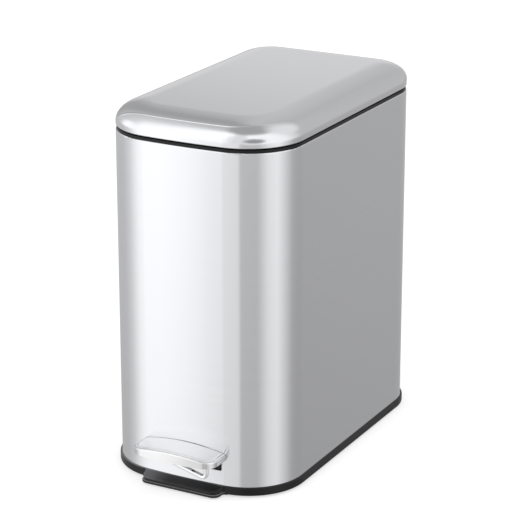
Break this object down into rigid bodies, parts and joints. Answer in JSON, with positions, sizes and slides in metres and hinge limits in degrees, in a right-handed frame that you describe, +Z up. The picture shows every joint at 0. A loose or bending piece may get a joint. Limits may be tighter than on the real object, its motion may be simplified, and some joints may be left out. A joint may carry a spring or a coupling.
{
  "type": "step trash can",
  "caption": "Slim rectangular step trash can: brushed steel body and pillow lid, black base ring, steel pedal, lift-out bucket.",
  "frame": {"origin": "centre of the whole can's footprint, on the floor under the feet", "axes": "+Z up, -Y towards the pedal at the front, +X to the right for someone facing the pedal"},
  "size_m": [0.1738, 0.3198, 0.3241],
  "materials": {
    "brushed_stainless": "brushed, fingerprint proof",
    "pedal_stainless": "fine satin, pressed",
    "black_plastic": "fine moulded texture",
    "bucket_plastic": "fine moulded texture",
    "zinc_steel": "zinc plated",
    "chromed_wire": "bright plated",
    "screw_steel": "zinc plated, clear",
    "rubber": "matt, soft"
  },
  "bodies": {
    "body": {"body_shell": "brushed_stainless", "base": "black_plastic", "rubber_feet": "rubber", "rim_ring": "black_plastic", "hinge_block": "black_plastic", "hinge_backing_plate": "zinc_steel", "hinge_screws": "screw_steel", "hinge_pin": "zinc_steel", "hinge_pin_caps": "black_plastic", "rod_guide": "black_plastic", "guide_rivets": "screw_steel", "lever_axle": "zinc_steel", "axle_clamps": "black_plastic", "clamp_screws": "screw_steel", "lever_rest": "rubber"},
    "lid": {"lid_shell": "brushed_stainless", "lid_liner": "black_plastic", "lid_bumpers": "rubber", "lid_bracket": "zinc_steel", "bracket_screws": "screw_steel"},
    "lever": {"pedal_lever": "zinc_steel", "lever_bush": "black_plastic", "pedal_pad": "pedal_stainless", "pedal_core": "black_plastic", "pedal_screws": "screw_steel", "pedal_stop_wire": "chromed_wire"},
    "rod": {"push_rod": "zinc_steel", "rod_clips": "zinc_steel"},
    "bucket": {"bucket": "bucket_plastic"},
    "bail": {"bucket_bail": "chromed_wire", "bail_grip": "black_plastic"}
  },
  "joints": [
    {"name": "lid_hinge", "type": "hinge", "parent": "body", "child": "lid", "pos_m": [0, 0.15535, 0.3026], "axis": [-1, 0, 0], "range_deg": [0, 72]},
    {"name": "lever_pivot", "type": "hinge", "parent": "body", "child": "lever", "pos_m": [0, -0.0814, 0.028], "axis": [1, 0, 0], "range_deg": [0, 8.79]},
    {"name": "rod_pivot", "type": "hinge", "parent": "lever", "child": "rod", "pos_m": [0, 0.1327, 0.01154], "axis": [1, 0, 0], "range_deg": [-8.79, 0]},
    {"name": "bucket_lift", "type": "slide", "parent": "body", "child": "bucket", "axis": [0, 0, 1], "range_m": [0, 0.0025]},
    {"name": "bail_swing", "type": "hinge", "parent": "bucket", "child": "bail", "pos_m": [0, -0.0039, 0.29885], "axis": [-1, 0, 0], "range_deg": [0, 2.5]}
  ],
  "couplings": [
    {"joint": "lever_pivot", "follows": "lid_hinge", "ratio": 0.1221},
    {"joint": "rod_pivot", "follows": "lid_hinge", "ratio": -0.1221}
  ]
}
